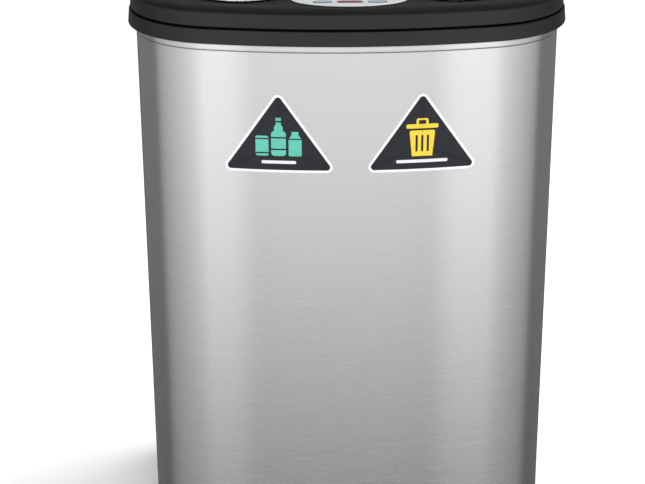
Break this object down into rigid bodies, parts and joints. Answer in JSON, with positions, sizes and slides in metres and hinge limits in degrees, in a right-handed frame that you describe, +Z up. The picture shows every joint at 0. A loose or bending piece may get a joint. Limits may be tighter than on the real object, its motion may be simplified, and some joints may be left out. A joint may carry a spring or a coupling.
{
  "type": "two-compartment sensor recycling bin",
  "caption": "Free-standing D-shaped steel bin with a lift-off black head, two motor-driven lids over two inner buckets, and plain sorting labels.",
  "frame": {"origin": "on the floor under the middle of the bin", "axes": "+Z up, -Y towards the curved front with the labels, +X to the right seen from the front"},
  "size_m": [0.5186, 0.3436, 0.7457],
  "materials": {
    "brushed_steel": "fine horizontal brushing, satin",
    "lid_steel": "brushed, brighter than the body",
    "black_plastic": "fine-grained moulded black",
    "dark_plastic": "plain moulded dark grey",
    "bucket_plastic": "smooth moulded grey",
    "rubber": "matte",
    "foam": "closed-cell foam",
    "label_print": "printed vinyl, near-black ground",
    "panel_silver": "silver lacquer",
    "button_blue": "blue-grey, soft gloss",
    "window_red": "dark red, clear gloss",
    "board_green": "solder-masked board",
    "component_black": "moulded component",
    "diode_lens": "tinted lens",
    "led_lens": "diffused lens",
    "gear_case": "natural acetal",
    "plated_steel": "bright zinc plate",
    "cell_wrap": "plain wrapped cell",
    "rocker_red": "moulded rocker"
  },
  "bodies": {
    "bin_body": {"body_shell": "brushed_steel", "base_tray": "black_plastic", "rubber_feet": "rubber", "collar_ring": "black_plastic", "collar_screws": "plated_steel", "label_left": "label_print", "label_right": "label_print"},
    "bucket_left": {"bucket_left": "bucket_plastic"},
    "bucket_right": {"bucket_right": "bucket_plastic"},
    "head": {"head_cover": "black_plastic", "head_base": "dark_plastic", "seal": "foam", "head_screws": "plated_steel", "lid_bumpers": "rubber", "control_panel": "panel_silver", "sensor_window": "window_red", "circuit_board": "board_green", "board_screws": "plated_steel", "tact_switches": "component_black", "sensor_diodes": "diode_lens", "status_leds": "led_lens", "gearbox_left": "gear_case", "gearbox_right": "gear_case", "motor_left": "plated_steel", "motor_right": "plated_steel", "hinge_pin_left": "plated_steel", "hinge_pin_right": "plated_steel", "battery_box": "dark_plastic", "battery_cells": "cell_wrap", "battery_contacts": "plated_steel", "switch_frame": "component_black"},
    "lid_left": {"lid_plate_left": "lid_steel", "lid_frame_left": "black_plastic", "drive_shaft_left": "plated_steel"},
    "lid_right": {"lid_plate_right": "lid_steel", "lid_frame_right": "black_plastic", "drive_shaft_right": "plated_steel"},
    "button_left": {"button_left": "button_blue"},
    "button_right": {"button_right": "button_blue"},
    "power_switch": {"power_switch": "rocker_red"},
    "battery_door": {"battery_door": "black_plastic"}
  },
  "joints": [
    {"name": "head_lift", "type": "slide", "parent": "bin_body", "child": "head", "axis": [0, 0, 1], "range_m": [0, 1.38]},
    {"name": "bucket_left_lift", "type": "slide", "parent": "bin_body", "child": "bucket_left", "axis": [0, 0, 1], "range_m": [0, 0.69]},
    {"name": "bucket_right_lift", "type": "slide", "parent": "bin_body", "child": "bucket_right", "axis": [0, 0, 1], "range_m": [0, 0.69]},
    {"name": "lid_left_hinge", "type": "hinge", "parent": "head", "child": "lid_left", "pos_m": [-0.1225, 0.08, 0.7185], "axis": [-1, 0, 0], "range_deg": [0, 80]},
    {"name": "lid_right_hinge", "type": "hinge", "parent": "head", "child": "lid_right", "pos_m": [0.1225, 0.08, 0.7185], "axis": [-1, 0, 0], "range_deg": [0, 80]},
    {"name": "button_left_press", "type": "slide", "parent": "head", "child": "button_left", "axis": [0, 0, -1], "range_m": [0, 0.0012], "stiffness_N_per_m": 400, "springref_m": -0.002},
    {"name": "button_right_press", "type": "slide", "parent": "head", "child": "button_right", "axis": [0, 0, -1], "range_m": [0, 0.0012], "stiffness_N_per_m": 400, "springref_m": -0.002},
    {"name": "power_switch_rock", "type": "hinge", "parent": "head", "child": "power_switch", "pos_m": [0.175, 0.1605, 0.7235], "axis": [-1, 0, 0], "range_deg": [0, 14]},
    {"name": "battery_door_hinge", "type": "hinge", "parent": "head", "child": "battery_door", "pos_m": [0, 0.1505, 0.7435], "axis": [-1, 0, 0], "range_deg": [0, 95]}
  ],
  "couplings": [
    {"joint": "bucket_left_lift", "follows": "head_lift", "ratio": 0.5},
    {"joint": "bucket_right_lift", "follows": "head_lift", "ratio": 0.5}
  ]
}
